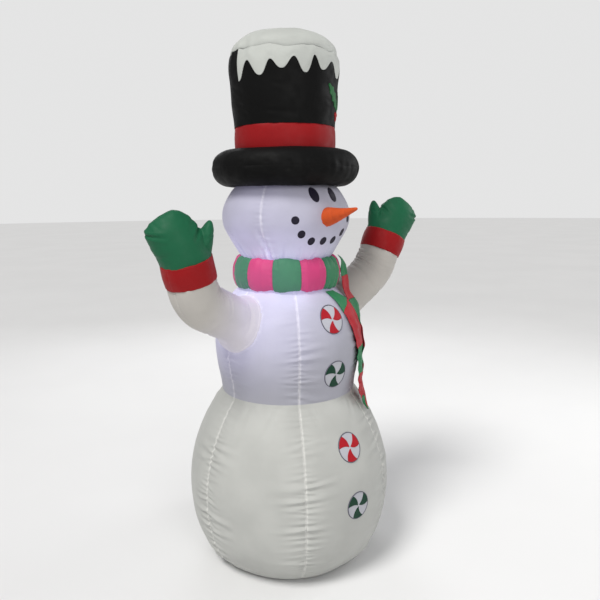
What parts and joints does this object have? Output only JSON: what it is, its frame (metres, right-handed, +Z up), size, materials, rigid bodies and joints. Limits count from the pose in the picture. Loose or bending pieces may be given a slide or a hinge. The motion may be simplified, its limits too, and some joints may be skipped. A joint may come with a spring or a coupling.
{
  "type": "inflatable yard snowman",
  "caption": "Blown fabric snowman with top hat, striped scarf, raised mittened arms, swirl buttons, rear blower and inner lamps.",
  "frame": {"origin": "centre of the floor panel's underside", "axes": "+Z up, the face looks along -Y, +X is the snowman's left"},
  "size_m": [1.1086, 0.7842, 1.83],
  "materials": {
    "white_cloth": "matte",
    "black_cloth": "matte",
    "red_cloth": "matte",
    "green_cloth": "matte",
    "pink_red_cloth": "matte",
    "orange_cloth": "matte",
    "webbing": "matte",
    "black_plastic": "matte",
    "white_plastic": "satin",
    "motor_steel": "satin",
    "screw_steel": "satin",
    "brass": "satin",
    "inlet_black": "gloss",
    "lamp_lens": "gloss",
    "lead_white": "matte",
    "zip_plastic": "matte"
  },
  "bodies": {
    "body": {"base_floor_panel": "white_cloth", "base_gores": "white_cloth", "torso_gores": "white_cloth", "head_panels": "white_cloth", "hat_brim_lower": "black_cloth", "hat_brim_upper": "black_cloth", "hat_band": "red_cloth", "hat_crown_wall": "black_cloth", "hat_top_panel": "white_cloth", "hat_snow_drips": "white_cloth", "holly_leaves": "green_cloth", "holly_berries": "red_cloth", "eye_patches": "black_cloth", "mouth_coals": "black_cloth", "carrot_nose": "orange_cloth", "scarf_collar_green": "green_cloth", "scarf_collar_red": "pink_red_cloth", "button_patches": "white_cloth", "button_outline_rings": "black_cloth", "button_swirls_red": "red_cloth", "button_swirls_green": "green_cloth", "blower_sleeve": "white_cloth", "blower_strap": "webbing", "strap_buckle": "black_plastic", "blower_housing_front": "black_plastic", "blower_housing_rear": "black_plastic", "blower_intake_grille": "black_plastic", "blower_outlet_guard": "black_plastic", "fan_motor": "motor_steel", "motor_mount": "black_plastic", "blower_screws": "screw_steel", "blower_feet": "black_plastic", "dc_inlet": "inlet_black", "lamp_lead_socket": "black_plastic", "led_cable": "lead_white", "led_sockets": "lead_white", "led_bulbs": "lamp_lens", "lamp_tie_tabs": "white_cloth", "zip_placket": "white_cloth", "zip_tapes": "white_cloth", "zip_teeth": "zip_plastic", "zip_stops": "zip_plastic", "stake_tabs": "white_cloth", "stake_grommets": "brass"},
    "fan_rotor": {"motor_shaft": "motor_steel", "fan_impeller": "black_plastic"},
    "zip_slider": {"zip_slider": "zip_plastic"},
    "zip_pull": {"zip_pull": "zip_plastic"},
    "scarf_tail_long": {"tail_long_green": "green_cloth", "tail_long_red": "pink_red_cloth"},
    "scarf_tail_short": {"tail_short_green": "green_cloth", "tail_short_red": "pink_red_cloth"},
    "arm_right": {"sleeve_right": "white_cloth", "cuff_right": "red_cloth", "mitten_right": "green_cloth"},
    "arm_left": {"sleeve_left": "white_cloth", "cuff_left": "red_cloth", "mitten_left": "green_cloth"}
  },
  "joints": [
    {"name": "fan_spin", "type": "hinge", "parent": "body", "child": "fan_rotor", "pos_m": [0, 0.36, 0.11], "axis": [0, 1, 0], "continuous": true},
    {"name": "zip_slide", "type": "slide", "parent": "body", "child": "zip_slider", "axis": [0, -0.4259, 0.9048], "range_m": [-0.106, 0]},
    {"name": "zip_pull_swing", "type": "hinge", "parent": "zip_slider", "child": "zip_pull", "pos_m": [0, 0.28553, 0.54541], "axis": [1, 0, 0], "range_deg": [0, 75]},
    {"name": "tail_long_swing", "type": "hinge", "parent": "body", "child": "scarf_tail_long", "pos_m": [0.03178, -0.18022, 0.974], "axis": [-0.9848, -0.1736, 0], "range_deg": [0, 15]},
    {"name": "tail_short_swing", "type": "hinge", "parent": "body", "child": "scarf_tail_short", "pos_m": [0.13461, -0.10707, 1.092], "axis": [-0.6225, -0.7826, 0], "range_deg": [0, 22]},
    {"name": "arm_right_sway", "type": "hinge", "parent": "body", "child": "arm_right", "pos_m": [-0.2, -0.02, 0.868], "axis": [0, 1, 0], "range_deg": [-6, 6], "stiffness_Nm_per_rad": 12},
    {"name": "arm_left_sway", "type": "hinge", "parent": "body", "child": "arm_left", "pos_m": [0.2, -0.02, 0.868], "axis": [0, -1, 0], "range_deg": [-6, 6], "stiffness_Nm_per_rad": 12}
  ]
}
